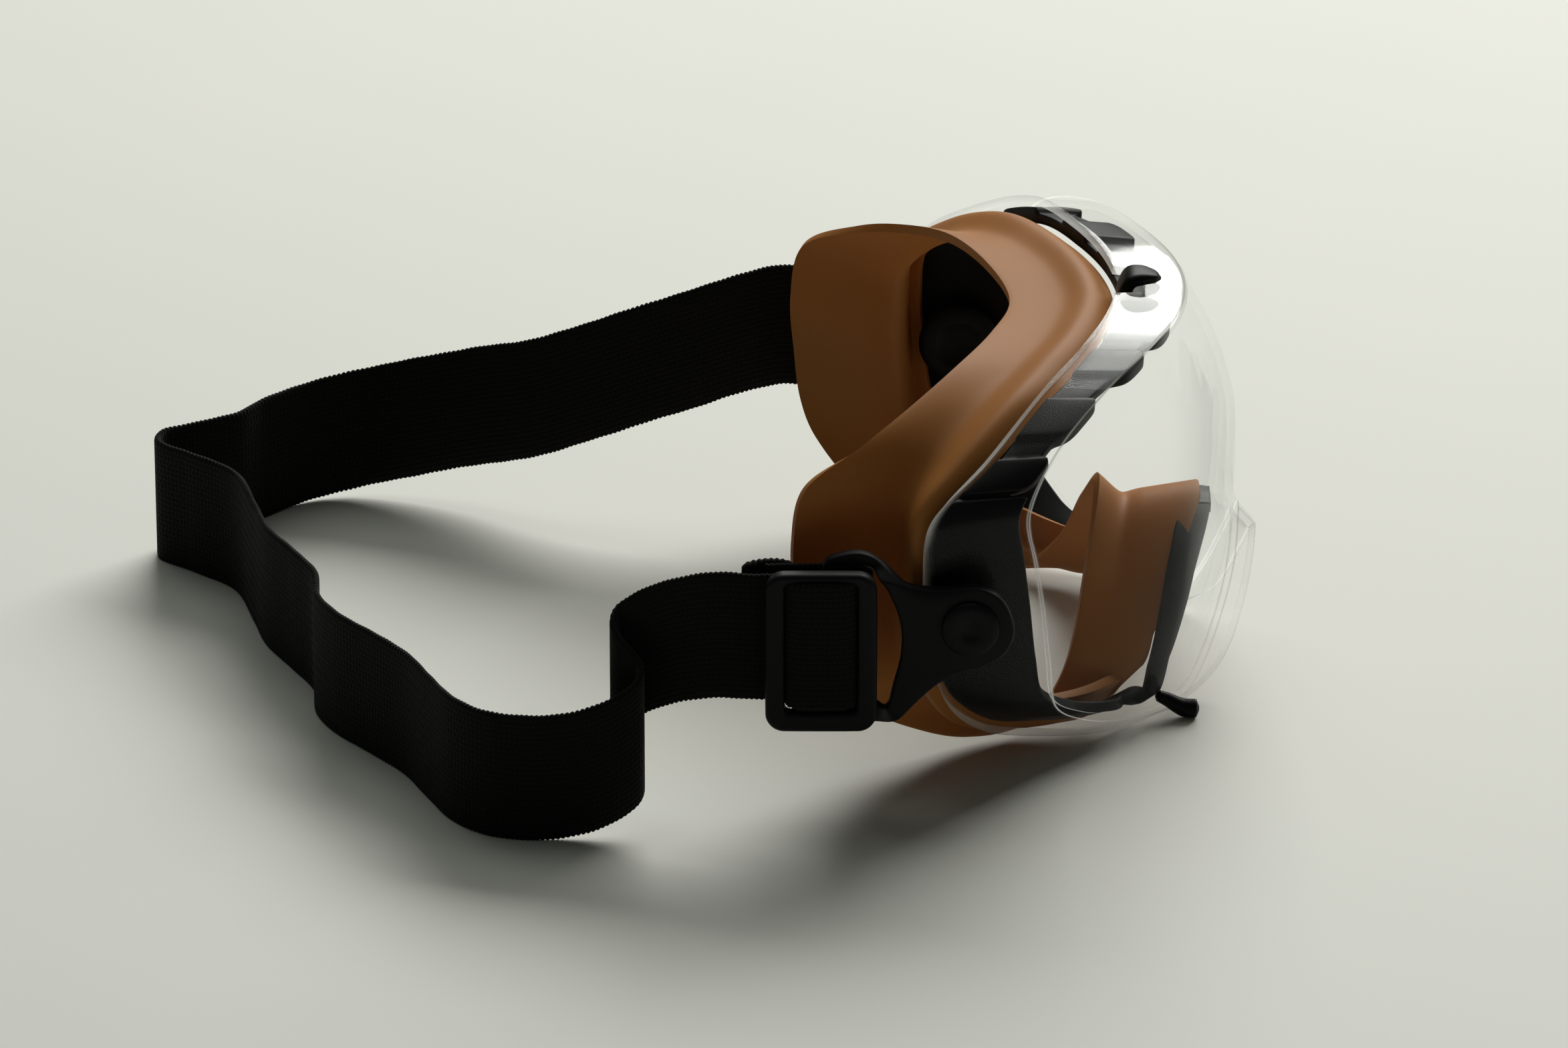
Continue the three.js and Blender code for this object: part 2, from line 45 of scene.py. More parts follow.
ELEVATION = np.radians(24)
DISTANCE = 2.3

camera = bpy.data.objects.new("camera", bpy.data.cameras.new("camera"))
bpy.context.scene.collection.objects.link(camera)
look = Vector((np.cos(ELEVATION), 0, -np.sin(ELEVATION)))
camera.location = AIM - DISTANCE * look
camera.rotation_euler = look.to_track_quat("-Z", "Y").to_euler()
camera.data.sensor_width = 36
camera.data.lens = 231.9
camera.data.clip_end = 50
bpy.context.scene.camera = camera
bpy.context.scene.view_settings.view_transform = "Standard"


def window(name, place, towards, size, watts, colour):
    """A rectangular soft light at a place, facing another."""
    lamp = bpy.data.lights.new(name, "AREA")
    lamp.shape = "RECTANGLE"
    lamp.size, lamp.size_y = size
    lamp.energy = watts
    lamp.color = colour
    holder = bpy.data.objects.new(name, lamp)
    bpy.context.scene.collection.objects.link(holder)
    holder.location = place
    holder.rotation_euler = (Vector(towards) - Vector(place)).to_track_quat("-Z", "Y").to_euler()


window("big_window", (2.3, -0.75, 1.75), (0, 0.05, 0), (2.6, 1.6), 106, (1.0, 0.99, 0.95))
window("ceiling_bounce", (0.9, 0.3, 2.4), (0, 0.05, 0), (1.8, 1.8), 11, (0.97, 1.0, 0.93))
sky = bpy.data.worlds.new("room")
sky.use_nodes = True
sky.node_tree.nodes["Background"].inputs["Color"].default_value = (0.80, 0.84, 0.76, 1)
sky.node_tree.nodes["Background"].inputs["Strength"].default_value = 0.07
bpy.context.scene.world = sky


class Signal:
    """A value inside a material. Python's own operators on it add Math nodes."""

    def __init__(self, finish, socket):
        self.finish = finish
        self.socket = socket

    def math(self, operation, first, second=0.0):
        return self.finish.node("ShaderNodeMath", {"operation": operation}, {0: first, 1: second})

    def __add__(self, other):
        return self.math("ADD", self, other)

    def __sub__(self, other):
        return self.math("SUBTRACT", self, other)

    def __rsub__(self, other):
        return self.math("SUBTRACT", other, self)

    def __mul__(self, other):
        return self.math("MULTIPLY", self, other)

    def __pow__(self, other):
        return self.math("POWER", self, other)

    def wave(self):
        """Its sine, moved into the range from 0 to 1."""
        return self.math("SINE", self) * 0.5 + 0.5

    def limited(self, low, high):
        """Held between two limits."""
        return self.math("MINIMUM", self.math("MAXIMUM", self, low), high)


class Finish:
    """A material in the making."""

    def __init__(self, name):
        self.material = bpy.data.materials.new(name)
        self.material.use_nodes = True
        self.tree = self.material.node_tree
        self.tree.nodes.clear()

    def node(self, kind, settings=None, sockets=None, output=0):
        """Adds a node: its settings first, then the values or links of its sockets."""
        made = self.tree.nodes.new(kind)
        for name, value in (settings or {}).items():
            setattr(made, name, value)
        for key, value in (sockets or {}).items():
            if isinstance(value, Signal):
                self.tree.links.new(value.socket, made.inputs[key])
            else:
                made.inputs[key].default_value = value
        return Signal(self, made.outputs[output])

    def mixed(self, amount, first, second):
        """One colour turning into another as amount goes from 0 to 1."""
        return self.node("ShaderNodeMix", {"data_type": "RGBA"}, {0: amount, 6: first, 7: second}, 2)

    def place(self):
        """The point on the piece, in metres."""
        return self.node("ShaderNodeTexCoord", output=3)

    def parts(self, vector):
        """The three numbers of a vector, each a signal."""
        split = self.node("ShaderNodeSeparateXYZ", None, {0: vector}).socket.node
        return [Signal(self, socket) for socket in split.outputs]

    def speckle(self, size, detail):
        """Soft noise with features of about the given size in metres, from 0 to 1."""
        sockets = {"Vector": self.place(), "Scale": 1 / size, "Detail": detail, "Roughness": 0.55}
        return self.node("ShaderNodeTexNoise", None, sockets)

    def relief(self, height, distance, strength):
        """Surface relief from a height signal, in metres."""
        sockets = {"Height": height, "Distance": distance, "Strength": strength}
        return self.node("ShaderNodeBump", None, sockets)

    def done(self, shader):
        """Joins a shader to the output and gives the finished material."""
        end = self.tree.nodes.new("ShaderNodeOutputMaterial")
        self.tree.links.new(shader.socket, end.inputs["Surface"])
        return self.material


def table_finish():
    """Satin white laminate with a trace of mottling."""
    finish = Finish("table_laminate")
    mottle = finish.speckle(0.16, detail=3.0)
    tone = finish.mixed(mottle, (0.72, 0.73, 0.68, 1), (0.75, 0.755, 0.71, 1))
    return finish.done(finish.node("ShaderNodeBsdfPrincipled", None, {
        "Base Color": tone, "Roughness": 0.62, "Specular IOR Level": 0.3,
    }))


table_mesh = bpy.data.meshes.new("table")
TABLE_HALF = 8.0
corners = [(x * TABLE_HALF, y * TABLE_HALF, TABLE_TOP) for x, y in ((-1, -1), (1, -1), (1, 1), (-1, 1))]
table_mesh.from_pydata(corners, [], [(0, 1, 2, 3)])
table_mesh.materials.append(table_finish())
table = bpy.data.objects.new("table", table_mesh)
bpy.context.scene.collection.objects.link(table)

# --- Lens -------------------------------------------------------------------------------------
# One injection-moulded shell of clear polycarbonate, 2 mm thick: a bulged face, a wall turned back
# all round it, and a small lip along the nose arch. The wall is notched at the top for the hook.
# The outlines of this and of the next pieces are half outlines in millimetres, from the top centre
# round the temple and the cheek to the nose arch, measured from the table top under the brow.
BRIDGE_PAD = np.array([0, -3, 37.6])
LENS_CREASE = [
    (0, 0, 91.7), (17, 2.2, 92), (36, 9.2, 91.7), (55, 19, 90), (74, 31, 82), (81, 36.4, 70.5),
    (79, 34.6, 57), (76, 33, 45), (72.5, 31.5, 31), (68.5, 30, 19), (58, 23, 10.6), (46, 13, 5),
    (36, 5.6, 2.4), (28, 0.5, 2.2), (22.5, -5, 12), (13.5, -10.5, 28), (0, -12, 38.5),
]
LENS_REAR = [
    (0, 16, 93), (17, 18.2, 93), (37, 24.6, 92.5), (56, 33.5, 90.5), (74, 46.5, 81), (84.2, 58.5, 70),
    (85, 60, 57), (84, 59, 45), (82, 57, 31), (76, 53.5, 21), (65, 46, 11), (57, 37, 6.2),
    (44, 18, 1.2), (29.5, 3, 0.2), (20.5, -8.5, 8), (11.5, -14.5, 23), (0, -16.5, 33),
]
HALF_WAY = 16
CORNER_STATION = 5
JAW_STATION = 9
LENS_THICKNESS = 2.0


def curve(knots, places, closed=False):
    """Centripetal Catmull-Rom curve through knots at places counted in knots.

    Between two knots it is the cubic with the slopes that the neighbouring chords give, when every
    chord is timed by the square root of its length. Knots may be whole rows of points.
    """
    knots = np.asarray(knots, float)
    places = np.asarray(places, float)
    if closed:
        start = np.floor(places).astype(int)
        p = [knots[(start + k) % len(knots)] for k in (-1, 0, 1, 2)]
    else:
        start = np.clip(np.floor(places).astype(int), 0, len(knots) - 2)
        ends = np.concatenate([2 * knots[:1] - knots[1:2], knots, 2 * knots[-1:] - knots[-2:-1]])
        p = [ends[start + k] for k in range(4)]
    t = (places - start).reshape((-1,) + (1,) * (knots.ndim - 1))
    sides = [p[k + 1] - p[k] for k in range(3)]
    gap = [np.maximum(np.linalg.norm(side, axis=-1, keepdims=True), 1e-9) ** 0.5 for side in sides]
    chord = [side / g for side, g in zip(sides, gap)]
    leave = (chord[0] - (p[2] - p[0]) / (gap[0] + gap[1]) + chord[1]) * gap[1]
    arrive = (chord[1] - (p[3] - p[1]) / (gap[1] + gap[2]) + chord[2]) * gap[1]
    bend, twist = 3 * sides[1] - 2 * leave - arrive, leave + arrive - 2 * sides[1]
    return p[1] + t * (leave + t * (bend + t * twist))


def round_loop(half_outline, stations):
    """The closed curve through a half outline and its mirror image, at station numbers."""
    left = np.asarray(half_outline, float)
    right = left[-2:0:-1] * (-1, 1, 1)
    return curve(np.concatenate([left, right]), np.mod(stations, 2 * HALF_WAY), closed=True)


def grid_quads(rows, columns, wrap_rows=False, wrap_columns=False):
    """Corner numbers of the quads of a grid of points stored row by row."""
    i = np.arange(rows if wrap_rows else rows - 1)[:, None]
    j = np.arange(columns if wrap_columns else columns - 1)[None, :]
    i2, j2 = (i + 1) % rows, (j + 1) % columns
    quads = np.stack([i * columns + j, i * columns + j2, i2 * columns + j2, i2 * columns + j], axis=-1)
    return quads.reshape(-1, 4)


def new_piece(name, points, quads, caps=(), material=None, uv=None, edge=None):
    """A mesh object from points in bench millimetres, with its faces turned outwards.

    The faces point outwards when the sum over them of area normal times distance from the middle is
    positive, and are turned round when it isn't. uv gives a pair for each point, and edge a number
    from 0 to 1 for each point, the share of a painted highlight there.
    """
    points = np.asarray(points, float).reshape(-1, 3)
    quads = np.asarray(quads)
    a, b, c, d = (points[quads[:, k]] for k in range(4))
    outward = np.sum(np.cross(c - a, d - b) * ((a + b + c + d) / 4 - points.mean(axis=0)))
    caps = [np.asarray(cap) for cap in caps]
    if outward < 0:
        quads = quads[:, ::-1]
        caps = [cap[::-1] for cap in caps]
    mesh = bpy.data.meshes.new(name)
    faces = quads.tolist() + [cap.tolist() for cap in caps]
    mesh.from_pydata(((points - BRIDGE_PAD) / 1000).tolist(), [], faces)
    mesh.polygons.foreach_set("use_smooth", np.full(len(mesh.polygons), True))
    if uv is not None:
        corner = np.empty(len(mesh.loops), int)
        mesh.loops.foreach_get("vertex_index", corner)
        mesh.uv_layers.new(name="cloth").data.foreach_set("uv", uv[corner].ravel())
    if edge is not None:
        mesh.attributes.new("edge", "FLOAT", "POINT").data.foreach_set("value", edge)
    mesh.materials.append(material)
    mesh.validate()
    piece = bpy.data.objects.new(name, mesh)
    bpy.context.scene.collection.objects.link(piece)
    return piece


def wall_behind(piece, thickness, rounding, segments):
    """Gives a skin its wall, inwards, and rounds the wall's sharp edges, in millimetres."""
    wall = piece.modifiers.new("wall", "SOLIDIFY")
    wall.thickness = thickness / 1000
    wall.offset = -1
    bevel = piece.modifiers.new("rounded_edges", "BEVEL")
    bevel.width = rounding / 1000
    bevel.segments = segments
    bevel.limit_method = "ANGLE"
    bevel.angle_limit = np.radians(50)


def lens_face(u, v):
    """The bulged face: the surface stretched between the crease's four sides, pushed forward.

    It is the sum of the two straight blends between opposite sides less the blend between the four
    corners. The push is a curve down the height, largest on the middle line, plus one on each cheek.
    """
    bulge_knots = [
        (0, 0, 0), (0.09, 3, 0), (0.25, 4.4, 0), (0.45, 4.6, 0), (0.65, 3.2, 0), (0.85, 1, 0), (1, 0, 0),
    ]
    cheek_push = 6.5
    side_span = JAW_STATION - CORNER_STATION
    bottom_span = HALF_WAY - JAW_STATION
    u, v = u[None, :, None], v[:, None, None]
    top = round_loop(LENS_CREASE, -CORNER_STATION + 2 * CORNER_STATION * u.ravel())[None]
    bottom = round_loop(LENS_CREASE, -JAW_STATION - 2 * bottom_span * u.ravel())[None]
    right = round_loop(LENS_CREASE, -CORNER_STATION - side_span * v.ravel())[:, None]
    left = round_loop(LENS_CREASE, CORNER_STATION + side_span * v.ravel())[:, None]
    corner_stations = (-CORNER_STATION, CORNER_STATION, -JAW_STATION, JAW_STATION)
    c = round_loop(LENS_CREASE, corner_stations)
    corners = c[0] * (1 - u) * (1 - v) + c[1] * u * (1 - v) + c[2] * (1 - u) * v + c[3] * u * v
    face = right * (1 - u) + left * u + top * (1 - v) + bottom * v - corners
    off = np.abs(2 * u - 1)[..., 0]
    middle = curve(bulge_knots, (len(bulge_knots) - 1) * v.ravel())[:, 1:2] * (1 - off ** 2)
    cheek = cheek_push * np.sin(np.pi * off ** 1.6) * np.sin(np.pi * v[..., 0]) ** 0.8
    face[..., 1] -= middle + cheek
    return face


def lens_skin(columns=130, rows=48, wall_rows=10, bend_rows=5):
    """The lens's outer skin: the face, a rounded bend at the crease, and the wall behind it.

    The bend is the quadratic curve from the face to the wall with the crease as its control point.
    """
    inset_u, inset_v, bend = 0.011, 0.018, 1.9
    notch_half, notch_fade, notch_depth, notch_above = 6.4, 1.2, 0.4, 80
    fractions_u, fractions_v = np.linspace(0, 1, columns + 1), np.linspace(0, 1, rows + 1)
    face = lens_face(
        inset_u + (1 - 2 * inset_u) * fractions_u,
        inset_v + (1 - 2 * inset_v) * fractions_v,
    )
    number = np.arange(face.shape[0] * face.shape[1]).reshape(face.shape[:2])
    ring = np.concatenate([number[0, :-1], number[:-1, -1], number[-1, :0:-1], number[:0:-1, 0]])
    side_span = JAW_STATION - CORNER_STATION
    bottom_span = 2 * (HALF_WAY - JAW_STATION)
    stations = np.concatenate([
        -CORNER_STATION + 2 * CORNER_STATION * fractions_u[:-1],
        CORNER_STATION + side_span * fractions_v[:-1],
        JAW_STATION + bottom_span * fractions_u[:-1],
        -JAW_STATION + side_span * fractions_v[:-1],
    ])
    inner = face.reshape(-1, 3)[ring]
    crease = round_loop(LENS_CREASE, stations)
    rear = round_loop(LENS_REAR, stations)
    x = np.abs(crease[:, :1])
    notch = np.where(crease[:, 2:] > notch_above, 1 - np.clip((x - notch_half) / notch_fade, 0, 1), 0)
    rear = rear + (crease - rear) * notch_depth * notch
    wall = rear - crease
    start = crease + wall / np.linalg.norm(wall, axis=1, keepdims=True) * bend
    t = np.linspace(0, 1, bend_rows + 1)[1:, None, None]
    bent = inner * (1 - t) ** 2 + crease * 2 * t * (1 - t) + start * t ** 2
    t = np.linspace(0, 1, wall_rows + 1)[1:, None, None]
    walls = start * (1 - t) + rear * t
    rings = np.concatenate([bent, walls])
    points = np.concatenate([face.reshape(-1, 3), rings.reshape(-1, 3)])
    ring_numbers = number.size + np.arange(rings.shape[0] * len(ring)).reshape(-1, len(ring))
    numbers = np.concatenate([ring[None], ring_numbers])
    following = np.roll(numbers, -1, axis=1)
    around = np.stack([numbers[:-1], following[:-1], following[1:], numbers[1:]], axis=-1).reshape(-1, 4)
    front = np.stack([number[:-1, :-1], number[1:, :-1], number[1:, 1:], number[:-1, 1:]], axis=-1)
    # Painted highlight: the bend's middle row, on the crease, and the rear rim are marked for the lens's
    # white translucent stripe.
    bright = np.zeros(rings.shape[:2])
    bright[bend_rows // 2] = 1
    bright[-1] = 0.8
    edge = np.concatenate([np.zeros(number.size), bright.ravel()])
    return points, np.concatenate([front.reshape(-1, 4), around]), edge


def clear_polycarbonate():
    """Clear plastic: a mirror-bright skin that is seen only as strongly as the plastic reflects.

    The strength is a head-on share plus the rest times the fifth power of how edge-on the skin is.
    It is turned down with the square of the distance from the middle, past the brow's centre: painted
    shade that keeps the black frame behind the cheeks dark. Along the creases and rims a white
    translucent stripe is mixed in, a painted highlight for the light the real plastic pipes along them.
    """
    finish = Finish("clear_polycarbonate")
    edge_on = finish.node("ShaderNodeLayerWeight", None, {"Blend": 0.5}, 1)
    head_on, cheek_shade_start, cheek_shade_slope, cheek_shade_most, painted_highlight_share = 0.02, 0.0006, 900.0, 0.8, 0.65
    sideways = finish.parts(finish.place())[0]
    # Painted shade: the reflection is turned down away from the middle, so the cheeks stay dark.
    cheek = ((sideways * sideways - cheek_shade_start) * cheek_shade_slope).limited(0.0, cheek_shade_most)
    strength = (edge_on ** 5.0 * (1 - head_on) + head_on) * (1 - cheek)
    skin = finish.node("ShaderNodeBsdfPrincipled", None, {
        "Base Color": (0.84, 0.86, 0.85, 1), "Metallic": 1.0, "Roughness": 0.04,
        "Alpha": strength.limited(0.0, 1.0),
    })
    # Painted highlight: a white translucent shader mixed in along the marked creases and rims.
    painted_crease_highlight = finish.node("ShaderNodeBsdfTranslucent", None, {"Color": (0.93, 0.95, 0.93, 1)})
    edge = finish.node("ShaderNodeAttribute", {"attribute_name": "edge"}, None, 2)
    sockets = {0: edge ** 2.0 * painted_highlight_share, 1: skin, 2: painted_crease_highlight}
    return finish.done(finish.node("ShaderNodeMixShader", None, sockets))


lens_points, lens_quads, lens_painted_highlight = lens_skin()
lens = new_piece("lens_shell", lens_points, lens_quads, material=clear_polycarbonate(), edge=lens_painted_highlight)
wall_behind(lens, LENS_THICKNESS, rounding=0.35, segments=2)
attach(lens, "root")
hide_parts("lens")

# --- Frame ------------------------------------------------------------------------------------
# Injection-moulded black nylon inside the lens wall: a vent strip of blocks and channels over the
# brow with a rounded tooth below each block, solid side panels, the nose bridge, a hook clipped
# over the lens's top edge and two feet under its lower edge.
FRAME_FRONT = LENS_CREASE[:12] + [
    (38, 12, 3.4), (32, 9.5, 4.4), (26.8, 5.6, 12), (17.4, -1.6, 26.5), (0, -7, 35.6),
]
FRAME_REAR = LENS_REAR[:11] + [
    (57, 37, 6.8), (45, 20, 3.2), (37, 14.4, 3.4), (30.4, 10.8, 11), (19.4, 6, 26.8), (0, 2, 35.6),
]
FRAME_THICKNESS = 2.4
FRAME_CLEARANCE = 0.6
CHANNEL_DEPTH = 1.3
BLOCKS = [0, 1.1, 2.1, 3.3, 4.2]
BLOCK_HALF = 0.31
BLOCK_STEP = 0.03
STRIP_END = 4.6
BAND_FRONT, STRIP_FRONT, TOOTH_REACH, BAND_REAR = 0.1, 0.34, 0.21, 0.94


def step(x, low, high):
    """Smooth step from 0 at low to 1 at high."""
    t = np.clip((x - low) / (high - low), 0, 1)
    return t * t * (3 - 2 * t)


def rounded_section(width, height, radius, arc=3):
    """Rectangles with round corners, centred on zero, one for each width and height.

    Each corner is a quarter circle of arc + 1 points about a centre set in by the radius.
    """
    sizes = [np.atleast_1d(np.asarray(size, float)) for size in (width, height, radius)]
    width, height, radius = np.broadcast_arrays(*sizes)
    radius = np.minimum(radius, 0.49 * np.minimum(width, height))
    turn = (np.arange(4)[:, None] * 90 + np.linspace(0, 90, arc + 1)[None, :]).ravel()
    quadrant = np.repeat(np.arange(4), arc + 1)
    sign_x = np.array([1, -1, -1, 1])[quadrant]
    sign_y = np.array([1, 1, -1, -1])[quadrant]
    x = sign_x * (width / 2 - radius)[:, None] + radius[:, None] * np.cos(np.radians(turn))
    y = sign_y * (height / 2 - radius)[:, None] + radius[:, None] * np.sin(np.radians(turn))
    return np.stack([x, y], axis=-1)


def carried(name, section, centre, across, up, closed=False, **more):
    """A profile carried along a path.

    A point is the path's centre plus the profile's first number along the across direction and its
    second along the up direction. An open path is closed with a flat cap at each end.
    """
    section = np.broadcast_to(section, (len(centre),) + section.shape[-2:])
    points = centre[:, None] + section[..., :1] * across[:, None] + section[..., 1:] * up[:, None]
    rows, columns = points.shape[:2]
    quads = grid_quads(rows, columns, wrap_rows=closed, wrap_columns=True)
    last = (rows - 1) * columns
    caps = [] if closed else [np.arange(columns)[::-1], last + np.arange(columns)]
    return new_piece(name, points, quads, caps, **more)


def black_plastic(name, roughness, colour, grain_strength):
    """Black moulded plastic, its gloss a little uneven, with a fine spark-eroded grain."""
    finish = Finish(name)
    grain = finish.speckle(0.0004, detail=2.0)
    patch = finish.speckle(0.012, detail=3.0)
    return finish.done(finish.node("ShaderNodeBsdfPrincipled", None, {
        "Base Color": colour, "Roughness": patch * 0.12 + (roughness - 0.06),
        "Specular IOR Level": 0.12, "Normal": finish.relief(grain, 0.00002, grain_strength),
    }))


NYLON = black_plastic("black_nylon", 0.44, (0.004, 0.0044, 0.0046, 1), 0.0)


def frame_band():
    """The band: between two depths inside the wall, from a front to a back fraction of its width.

    All four change along the outline: they are the plain band's, the channel's or the block's.
    """
    nudge = 0.05
    station = np.linspace(0, 2 * HALF_WAY, 900, endpoint=False)
    brow = np.minimum(station, 2 * HALF_WAY - station)
    nearest = np.min([np.abs(brow - centre) for centre in BLOCKS], axis=0)
    on_strip = 1 - step(brow, STRIP_END - nudge, STRIP_END + nudge)
    on_block = 1 - step(nearest, BLOCK_HALF - BLOCK_STEP, BLOCK_HALF + BLOCK_STEP)
    tooth = np.sqrt(np.clip(1 - (nearest / (BLOCK_HALF + 0.02)) ** 4, 0, 1))
    front = BAND_FRONT + on_strip * (STRIP_FRONT - BAND_FRONT - TOOTH_REACH * tooth)
    front_loop = round_loop(FRAME_FRONT, station)
    rear_loop = round_loop(FRAME_REAR, station)
    across = rear_loop - front_loop
    width = np.linalg.norm(across, axis=1)
    across = across / width[:, None]
    outlines = (FRAME_FRONT, FRAME_REAR)
    along = sum(round_loop(o, station + nudge) - round_loop(o, station - nudge) for o in outlines)
    normal = np.cross(along, across)
    normal /= np.linalg.norm(normal, axis=1)[:, None]
    skin = LENS_THICKNESS + FRAME_CLEARANCE
    outer = skin + CHANNEL_DEPTH * on_strip * (1 - on_block)
    inner = skin + FRAME_THICKNESS + CHANNEL_DEPTH * on_strip
    middle = (front + BAND_REAR) / 2 * width
    centre = front_loop + across * middle[:, None] - normal * ((outer + inner) / 2)[:, None]
    section = rounded_section((BAND_REAR - front) * width, inner - outer, 0.6)
    return carried("frame_band", section, centre, across, normal, closed=True, material=NYLON)


def rod(name, path, widths, heights, side, material, roundness):
    """A bar of rounded section along a curve, its width and height given at each knot."""
    path, side = np.asarray(path, float), np.asarray(side, float)
    places = np.linspace(0, len(path) - 1, 6 * (len(path) - 1) + 1)
    centre = curve(path, places)
    width = np.interp(places, range(len(path)), widths)
    height = np.interp(places, range(len(path)), heights)
    tangent = np.gradient(centre, axis=0)
    tangent /= np.linalg.norm(tangent, axis=1)[:, None]
    up = np.cross(side, tangent)
    up /= np.linalg.norm(up, axis=1)[:, None]
    across = np.cross(tangent, up)
    section = rounded_section(width, height, roundness * np.minimum(width, height), arc=4)
    return carried(name, section, centre, across, up, material=material)


SIDEWAYS, FRONT_TO_BACK = (1, 0, 0), (0, 1, 0)
HOOK_PATH = [(0, 14.4, 88.6), (0, 14, 91.4), (0, 12.6, 93.6), (0, 10, 94), (0, 7.2, 93.6), (0, 6, 93.2)]
HOOK_WIDTHS, HOOK_HEIGHTS = [8.6, 9, 9, 7.6, 4.4, 1], [3, 3, 3, 2.8, 2, 0.7]
NOSE_PAD_PATH = [(0, 1.2, 39), (0, -2.4, 39), (0, -6, 38.9)]
NOSE_PAD_WIDTH, NOSE_PAD_HEIGHT = 10, 2.6
FOOT_X = 34
FOOT_PROFILE = [(7, 5.6), (6.4, 5.4), (4.2, 4.4), (2, 3.1), (0.3, 2.4), (-2.2, 2.3), (-2.9, 2.3)]
FOOT_SIZES = [1, 2.6, 3.2, 3.8, 4.3, 4.2, 1]
frame_pieces = [
    frame_band(),
    rod("frame_hook", HOOK_PATH, HOOK_WIDTHS, HOOK_HEIGHTS, SIDEWAYS, NYLON, 0.5),
    rod(
        "frame_nose_pad", NOSE_PAD_PATH, [NOSE_PAD_WIDTH] * 3, [NOSE_PAD_HEIGHT] * 3, SIDEWAYS, NYLON,
        0.25,
    ),
]
for side_name, sign in (("left", 1), ("right", -1)):
    foot_path = [(sign * FOOT_X, y, z) for y, z in FOOT_PROFILE]
    foot = rod("frame_foot_" + side_name, foot_path, FOOT_SIZES, FOOT_SIZES, SIDEWAYS, NYLON, 0.49)
    frame_pieces.append(foot)
for piece in frame_pieces:
    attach(piece, "root")
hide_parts("frame")

# --- Face seal --------------------------------------------------------------------------------
# A soft moulded flange of orange-brown thermoplastic rubber, 2 mm thick and a little translucent: a
# collar pushed into the frame, a ridge behind it, a shallow valley, and the wide flap on the face.
SEAL_COLLAR = [
    (0, 16.5, 86.8), (17, 18.8, 86.8), (36, 25.2, 86.2), (53, 33.6, 84.2), (69.5, 46, 76.4),
    (78, 57.2, 68), (78.6, 58.6, 57), (77.6, 57.8, 45), (76, 56, 32.5), (71.5, 52.6, 25.4),
    (62.5, 46.4, 16.8), (54.6, 38.6, 12.8), (44, 23.4, 10.4), (35.6, 16.4, 9.2), (30.4, 12, 16.4),
    (18.8, 7.6, 30.8), (0, 3.8, 40.8),
]
SEAL_RIDGE = [
    (0, 21.5, 90.2), (19, 24.5, 90.2), (38, 31.5, 89.4), (56, 41, 86.6), (71, 52.5, 78.6), (79, 61.5, 69),
    (79.6, 62.5, 57), (78.4, 62, 45), (76.6, 60.6, 31), (71.5, 58, 21.5), (64, 52, 12.4), (56, 43, 7.4),
    (46, 29.4, 4.2), (37, 20, 3.6), (30.8, 15.6, 12.6), (18.4, 11.8, 28), (0, 8.4, 38.6),
]
SEAL_VALLEY = [
    (0, 28.5, 88.4), (20, 32.2, 88.4), (38, 40.5, 87.2), (52, 49.5, 83.4), (62.5, 58.5, 76.2), (66.5, 65, 68),
    (66.5, 66.5, 57), (66.2, 66.5, 46), (66, 65.5, 34), (64.5, 62.6, 25), (60, 57, 16.5), (54, 49, 9.6),
    (46.5, 37, 5), (39, 26.4, 4), (32.4, 21, 12.4), (18.8, 16.8, 27.6), (0, 14, 37.4),
]
SEAL_EDGE = [
    (0, 40, 88), (20, 44.5, 88.6), (39, 53, 88), (53, 63, 84.6), (64, 73.8, 79.8), (71.4, 86.2, 72.4),
    (72.5, 88.8, 59), (72.3, 88, 46), (71, 86.6, 34), (68.4, 83.6, 25.6), (62.5, 76.4, 17), (57, 63, 8.4),
    (50, 50, 2.6), (42.5, 37, 2.4), (35, 28.5, 11.4), (19.5, 23.2, 30), (0, 20.5, 43),
]
SEAL_THICKNESS = 2.0


def soft_rubber():
    """Orange-brown rubber that lets some light through and has a soft bloom."""
    finish = Finish("orange_rubber")
    cloud = finish.speckle(0.03, detail=4.0)
    tone = finish.mixed(cloud, (0.37, 0.15, 0.036, 1), (0.42, 0.175, 0.045, 1))
    grain = finish.speckle(0.0006, detail=2.0)
    skin = finish.node("ShaderNodeBsdfPrincipled", None, {
        "Base Color": tone, "Roughness": cloud * 0.1 + 0.46, "Specular IOR Level": 0.14,
        "Normal": finish.relief(grain, 0.00003, 0.4),
    })
    glow = finish.node("ShaderNodeBsdfTranslucent", None, {"Color": (0.8, 0.3, 0.05, 1)})
    return finish.done(finish.node("ShaderNodeMixShader", None, {0: 0.13, 1: skin, 2: glow}))


def seal_skin(columns=480, rows=30):
    """The seal's outer skin: a curve across four outlines, at every station round them.

    Round the nose the collar reaches most of the way to the frame's front edge.
    """
    nose_start, nose_full, nose_reach = 10, 12.5, 0.85
    station = np.linspace(0, 2 * HALF_WAY, columns, endpoint=False)
    loops = [round_loop(o, station) for o in (SEAL_COLLAR, SEAL_RIDGE, SEAL_VALLEY, SEAL_EDGE)]
    forward = round_loop(FRAME_FRONT, station) - round_loop(FRAME_REAR, station)
    on_nose = step(np.minimum(station, 2 * HALF_WAY - station), nose_start, nose_full)
    loops[0] = loops[0] + forward * (nose_reach * on_nose)[:, None]
    skin = curve(np.stack(loops), np.linspace(0, 3, rows))
    return skin, grid_quads(rows, columns, wrap_columns=True)


seal_points, seal_quads = seal_skin()
seal = new_piece("seal_flange", seal_points, seal_quads, material=soft_rubber())
wall_behind(seal, SEAL_THICKNESS, rounding=0.8, segments=3)
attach(seal, "root")
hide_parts("face_seal")

